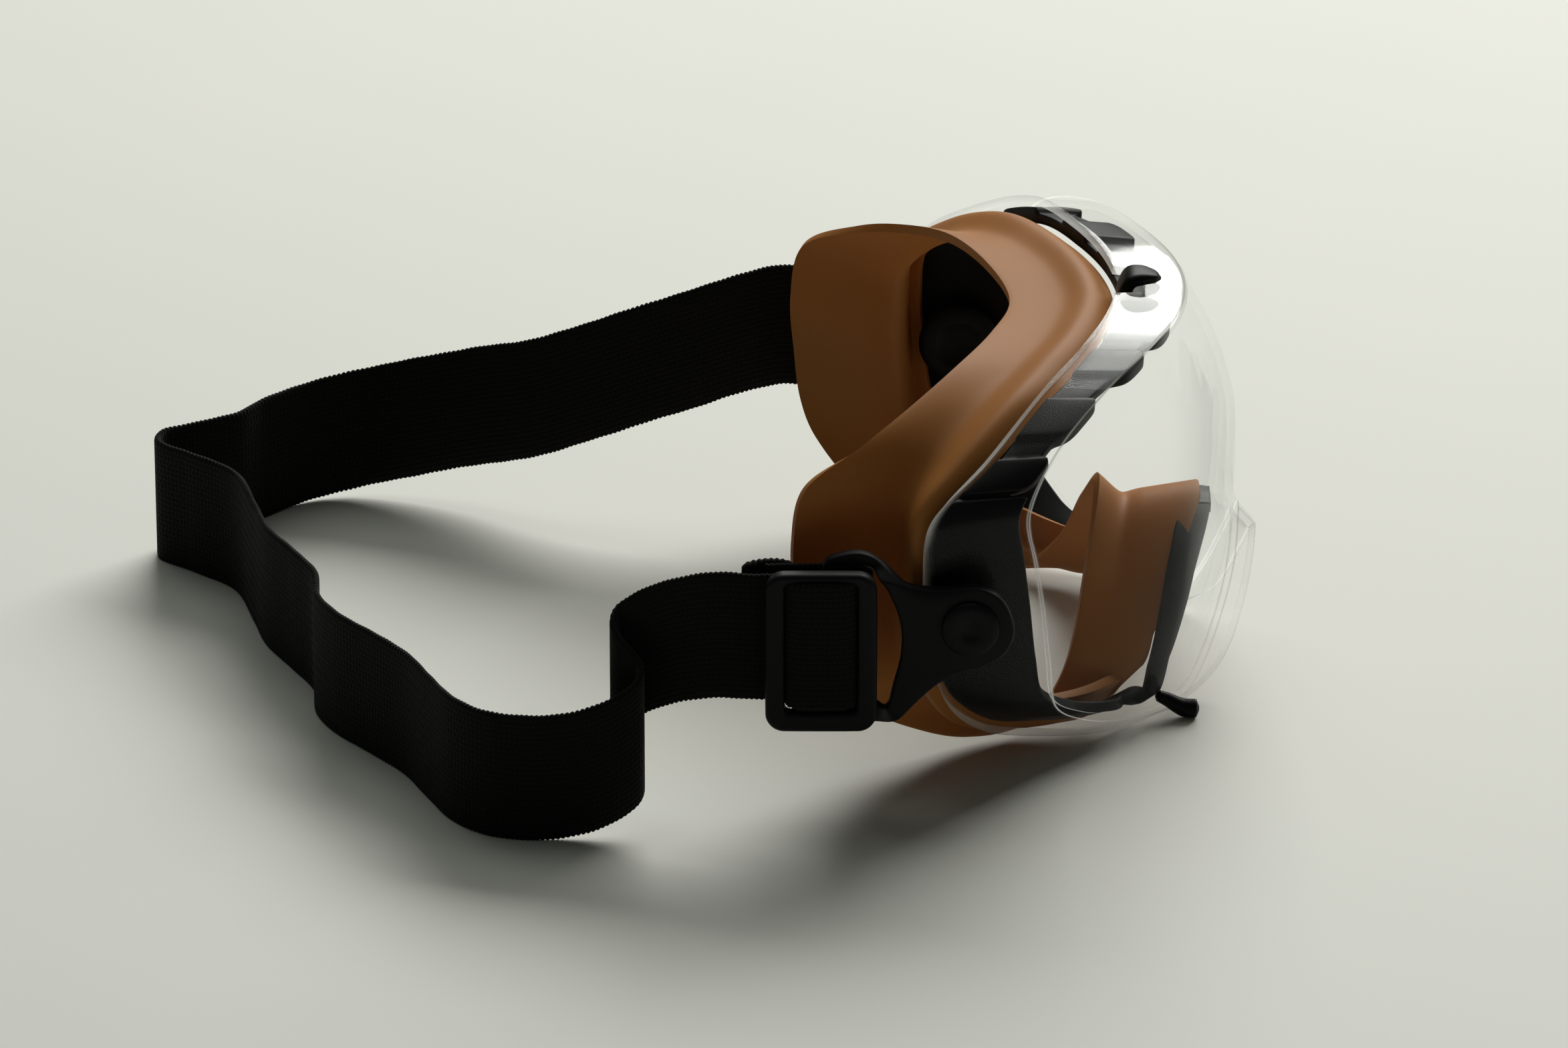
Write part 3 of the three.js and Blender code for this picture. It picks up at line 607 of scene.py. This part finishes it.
# --- Strap clips, pivot pins and caps ---------------------------------------------------------
# A black wishbone clip on each temple: a round hub turning on a headed pin, two arms and the bar
# that the strap is looped round. A round cap pushed on the pin's inner end holds it.
PIVOT = (50, 47)


def ring_plate(name, outline, hole, x_middle, thickness, rim):
    """A flat ring between an outline and a hole, its edges rounded, in the plane across X.

    The profile between matching points of the two loops is a rectangle with round corners.
    """
    middle = (outline + hole) / 2
    width = np.linalg.norm(outline - hole, axis=1)
    across = np.zeros((len(outline), 3))
    across[:, 1:] = (outline - hole) / width[:, None]
    centre = np.column_stack([x_middle, middle])
    up = np.tile((1.0, 0, 0), (len(outline), 1))
    section = rounded_section(width, thickness, rim)
    return carried(name, section, centre, across, up, closed=True, material=CLIP_PLASTIC)


def turned(name, profile, sign, steps=48):
    """A profile of (radius, distance from the middle plane) pairs, turned about the pivot axis."""
    profile = np.asarray(profile, float)
    angle = np.linspace(0, 2 * np.pi, steps, endpoint=False)[:, None]
    points = np.stack([
        np.broadcast_to(sign * profile[:, 1], (steps, len(profile))),
        PIVOT[0] + profile[:, 0] * np.cos(angle),
        PIVOT[1] + profile[:, 0] * np.sin(angle),
    ], axis=-1)
    rows, columns = points.shape[:2]
    starts = np.arange(rows) * columns
    caps = [starts, starts[::-1] + columns - 1]
    quads = grid_quads(rows, columns, wrap_rows=True)
    return new_piece(name, points, quads, caps, material=CLIP_PLASTIC)


CLIP_PLASTIC = black_plastic("black_clip_plastic", 0.5, (0.006, 0.0065, 0.007, 1), 0.3)
CLIP_OUTLINE = [
    (41.2, 50), (40.4, 45), (42.6, 40.4), (47, 37.8), (51.5, 36.6), (57, 33.4), (62, 28.6), (66.4, 24),
    (71.4, 22.4), (76, 22.4), (80.6, 22.6), (82.5, 26), (82.5, 36), (82.5, 46), (82.5, 56), (82, 60.8),
    (78.6, 62.6), (73.6, 63), (68.6, 60.4), (64, 57), (58.6, 55.9), (53.6, 56), (48.4, 56.4), (43.8, 54.2),
]
CLIP_WINDOW = [
    (65, 44), (65.1, 42), (65.3, 39.6), (65.9, 36.6), (66.7, 33.6), (67.4, 30.6), (68, 28.4), (69, 27.4),
    (71, 27.2), (73.4, 27.2), (75.6, 27.4), (76.5, 29), (76.5, 37), (76.5, 44), (76.5, 52), (76.3, 58.4),
    (75.2, 59.8), (73.4, 60), (71.4, 59.7), (70, 58.2), (68.4, 56), (67, 53), (65.9, 50), (65.2, 47),
]
CLIP_PLANE, CLIP_THICKNESS, CLIP_RIM = 86.9, 3.0, 0.8
BAR_INSET, BEND_START, BEND_END = 3.9, 66.5, 71.5
PIN = [
    (0.01, 80), (4, 80), (4, 88.5), (6.4, 88.5), (6.4, 89.3), (5.9, 89.9), (4.8, 90.2), (2.4, 90.3),
    (1.9, 89.9), (0.01, 89.9),
]
CAP = [
    (0.01, 72.4), (9.1, 72.4), (9.4, 71.9), (9.1, 71.2), (8.2, 70.5), (6, 70.2), (5.2, 70.5),
    (4.6, 71.2), (0.01, 71.3),
]
places = np.linspace(0, len(CLIP_OUTLINE), 240, endpoint=False)
clip_edge = curve(CLIP_OUTLINE, places, closed=True)
window_edge = curve(CLIP_WINDOW, places, closed=True)
inset = BAR_INSET * step((clip_edge[:, 0] + window_edge[:, 0]) / 2, BEND_START, BEND_END)
for side_name, sign, clip_body in (("left", 1, "left_clip"), ("right", -1, "headband")):
    plane = sign * (CLIP_PLANE - inset)
    clip = ring_plate(side_name + "_clip", clip_edge, window_edge, plane, CLIP_THICKNESS, CLIP_RIM)
    pin = turned(side_name + "_pin", PIN, sign)
    cap = turned(side_name + "_cap", CAP, sign)
    for piece, body, node in (
        (clip, clip_body, "_strap_clip"),
        (pin, "root", "_pivot_pin"),
        (cap, "root", "_pivot_cap"),
    ):
        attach(piece, body)
        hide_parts(side_name + node)

# --- Slide buckle -----------------------------------------------------------------------------
# A moulded black slider on the wearer's right that sets the strap's length: a rounded rim, and a
# wide bar across its middle that the strap passes over.
BUCKLE_MIDDLE = 82.75
BUCKLE_LENGTH = 24.5
BUCKLE_BOTTOM, BUCKLE_TOP = 22.8, 60.6
BUCKLE_PLANE, BUCKLE_THICKNESS = 88.9, 3.8
SIDE_BAR, FOOT_BAR, TOP_BAR = 4.3, 4.6, 2.2
RIM_CORNER, WINDOW_CORNER, RIM_ROUNDING = 4.2, 1.4, 1.1
BAR_PLANE, BAR_ENDS = 88.4, (25.5, 42, 59.5)
BAR_WIDTH, BAR_THICKNESS, BAR_ROUNDING = 12.1, 2.6, 0.4


def round_frame(length, low, high, corner):
    """A rectangle with round corners about the buckle's middle, closely spaced, as (y, z) pairs."""
    loop = rounded_section(length, high - low, corner, arc=10)[0] + (BUCKLE_MIDDLE, (low + high) / 2)
    return curve(loop, np.linspace(0, len(loop), 4 * len(loop), endpoint=False), closed=True)


rim_outer = round_frame(BUCKLE_LENGTH, BUCKLE_BOTTOM, BUCKLE_TOP, RIM_CORNER)
rim_inner = round_frame(
    BUCKLE_LENGTH - 2 * SIDE_BAR, BUCKLE_BOTTOM + FOOT_BAR, BUCKLE_TOP - TOP_BAR, WINDOW_CORNER,
)
rim_plane = np.full(len(rim_outer), -BUCKLE_PLANE)
rim = ring_plate("buckle_rim", rim_outer, rim_inner, rim_plane, BUCKLE_THICKNESS, RIM_ROUNDING)
bar_path = [(-BAR_PLANE, BUCKLE_MIDDLE, z) for z in BAR_ENDS]
middle_bar = rod(
    "buckle_middle_bar", bar_path, [BAR_WIDTH] * 3, [BAR_THICKNESS] * 3, FRONT_TO_BACK, CLIP_PLASTIC,
    BAR_ROUNDING,
)
for piece in (rim, middle_bar):
    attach(piece, "buckle")
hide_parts("right_slide_buckle")

# --- Head strap and its ends ------------------------------------------------------------------
# One length of black woven elastic, 30 mm wide and 1.5 mm thick, with a ribbed face and scalloped
# selvedges. One end is sewn round the left clip's bar. The other runs through the slide buckle,
# round the right clip's bar and back to the buckle, where a folded and sewn tab holds it.
STRAP_WIDTH = 30
STRAP_THICKNESS = 1.5
SELVEDGE_PITCH = 1.15
OUTER_LAYER = 85.8
INNER_LAYER = 80.3
WEB_HEIGHT = 43.8
RIB_PITCH = 1.25
STRAP_ROUTE = [
    (OUTER_LAYER, 77, WEB_HEIGHT), (OUTER_LAYER, 84, 45), (84, 91, 46.6), (79.5, 101, 46.2),
    (76.5, 112, 43.6), (76, 124, 39.8), (77, 137, 34.8), (80.5, 150, 29.2), (86.5, 164, 24.5),
    (89.5, 178, 20.5), (90, 192, 17.2), (86.5, 203, 15.6), (78, 213, 15.1), (70, 219, 15),
    (64.5, 228, 15), (60, 235.5, 15),
    (54, 236.5, 15), (46.5, 228.5, 15), (36, 218, 15), (18, 212.5, 15), (5, 209, 15), (-8, 202.5, 15),
    (-20, 197, 15), (-32, 196, 15), (-42, 191.5, 15), (-53, 183, 15), (-64, 175, 15), (-76, 169.5, 15),
    (-88, 163.5, 15), (-95, 156, 15), (-97.5, 146, 15), (-97, 136, 16), (-95.4, 128, 18.6),
    (-92.6, 123, 21.6), (-89.4, 122.4, 24.2), (-87.6, 124.6, 26.8), (-86.2, 127, 29.2), (-83.8, 128.4, 31.6),
    (-81.2, 127.6, 34), (-81.2, 124.2, 36.8), (-83, 118.5, 40.4), (-85, 111.5, 43.2), (-85.7, 105, 44.2),
    (-OUTER_LAYER, 98, WEB_HEIGHT), (-OUTER_LAYER, 88, WEB_HEIGHT), (-OUTER_LAYER, 77, WEB_HEIGHT),
]


def woven_elastic():
    """Black woven elastic: ribs along the strap and finer weft rows across it, matt and soft."""
    finish = Finish("black_elastic")
    across, along = finish.parts(finish.node("ShaderNodeUVMap", {"uv_map": "cloth"}))[:2]
    rib = (across * (2 * np.pi / RIB_PITCH)).wave()
    weft = (along * (2 * np.pi / SELVEDGE_PITCH) + (across * (np.pi / RIB_PITCH)).wave() * 3.0).wave()
    thread = rib * 0.5 + weft * 0.5
    tone = finish.mixed(thread, (0.0014, 0.0014, 0.0013, 1), (0.0062, 0.006, 0.0056, 1))
    return finish.done(finish.node("ShaderNodeBsdfPrincipled", None, {
        "Base Color": tone, "Roughness": 0.9, "Specular IOR Level": 0.2, "Sheen Weight": 0.03,
        "Sheen Roughness": 0.4, "Normal": finish.relief(thread, 0.00022, 0.8),
    }))


def woven_section(thickness, width, face_points=9):
    """The strap's cross-section: a round edge at each end and points along the two faces."""
    corner = rounded_section(thickness, width, 0.48 * thickness, arc=3)
    share = np.linspace(0, 1, face_points + 2)[1:-1][None, :, None]
    left = corner[:, 7:8] * (1 - share) + corner[:, 8:9] * share
    right = corner[:, 15:16] * (1 - share) + corner[:, 0:1] * share
    return np.concatenate([corner[:, :8], left, corner[:, 8:], right], axis=1)


def ribbon(name, path, width=STRAP_WIDTH, thickness=STRAP_THICKNESS, swell=0.0):
    """Strap standing on its edge along a curve, with scalloped selvedges and rounded edges.

    The section is an upright rectangle with round corners, level across the path, whose direction is
    averaged over a short stretch. Its height rises and falls twice for every selvedge pitch, wanders a
    little, and swells by the square root of a half wave from end to end. Gives the piece and its length.
    """
    sample_step, reach, per_knot = 0.38, 12, 40
    scallop, wander, plumpness = 0.9, 0.18, 0.05
    path = np.asarray(path, float)
    fine = curve(path, np.linspace(0, len(path) - 1, per_knot * (len(path) - 1)))
    run = np.concatenate([[0], np.cumsum(np.linalg.norm(np.diff(fine, axis=0), axis=1))])
    distance = np.linspace(0, run[-1], max(int(run[-1] / sample_step), 4))
    centre = np.stack([np.interp(distance, run, fine[:, k]) for k in range(3)], axis=-1)
    tangent = np.gradient(centre, axis=0)
    weights = np.hanning(2 * reach + 1) / reach
    padded = np.pad(tangent, ((reach, reach), (0, 0)), mode="edge")
    tangent = np.stack([np.convolve(padded[:, k], weights, mode="valid") for k in range(3)], axis=-1)
    tangent /= np.linalg.norm(tangent, axis=1)[:, None]
    up = np.tile((0.0, 0, 1), (len(centre), 1))
    across = np.cross(tangent, up)
    across /= np.linalg.norm(across, axis=1)[:, None]
    ripple = np.sin(2 * np.pi * distance / SELVEDGE_PITCH)
    loose = wander * np.sin(distance / 1.7) * np.sin(distance / 4.1)
    swollen = swell * np.sqrt(np.abs(np.sin(np.pi * distance / run[-1])))
    height = width - 0.4 + scallop * np.abs(ripple) + loose + swollen
    section = woven_section(thickness * (1 + plumpness * ripple), height)
    uv = np.stack([section[..., 1], np.broadcast_to(distance[:, None], section.shape[:2])], axis=-1)
    piece = carried(name, section, centre, across, up, material=ELASTIC, uv=uv.reshape(-1, 2))
    return piece, run[-1]


ELASTIC = woven_elastic()
strap, strap_length = ribbon("strap", STRAP_ROUTE)
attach(strap, "headband")
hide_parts("head_strap")


def bar_turn(reach, sign):
    """The strap's turn round a clip's bar: a U from the outer layer to the inner one."""
    middle = (OUTER_LAYER + INNER_LAYER) / 2
    layers = [
        (OUTER_LAYER, 76.4), (OUTER_LAYER, 73.9), (OUTER_LAYER - 1.2, 72.6), (middle, 72),
        (INNER_LAYER + 1.2, 72.6), (INNER_LAYER, 73.9), (INNER_LAYER, 80), (INNER_LAYER, reach),
    ]
    return [(sign * x, y) for x, y in layers]


def level(path):
    """A path given as (x, y) pairs, at the height of the strap's middle line beside the clips."""
    return [(x, y, WEB_HEIGHT) for x, y in path]


HUMP_PATH = [
    (-86.6, 73.6), (-87.6, 75), (-89.8, 76), (-90.9, 78.4), (-91.1, 82.8), (-90.9, 87), (-89.8, 89.5),
    (-87.6, 90.5), (-86.6, 92),
]
TAB_PATH = [(-78, 87.8), (-78, 94), (-78, 100.2)]
hem = ribbon("left_hem", level(bar_turn(84, 1)))[0]
back = ribbon("right_return", level(bar_turn(95, -1)))[0]
tab = ribbon("right_tab", level(TAB_PATH), width=26, thickness=2.6, swell=4.4)[0]
hump = ribbon("buckle_strap_hump", level(HUMP_PATH), thickness=1.3)[0]
for piece, body, node in (
    (hem, "headband", "left_strap_hem"),
    (back, "headband", "right_strap_return"),
    (tab, "buckle", "right_strap_tab"),
):
    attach(piece, body)
    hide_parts(node)
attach(hump, "buckle")
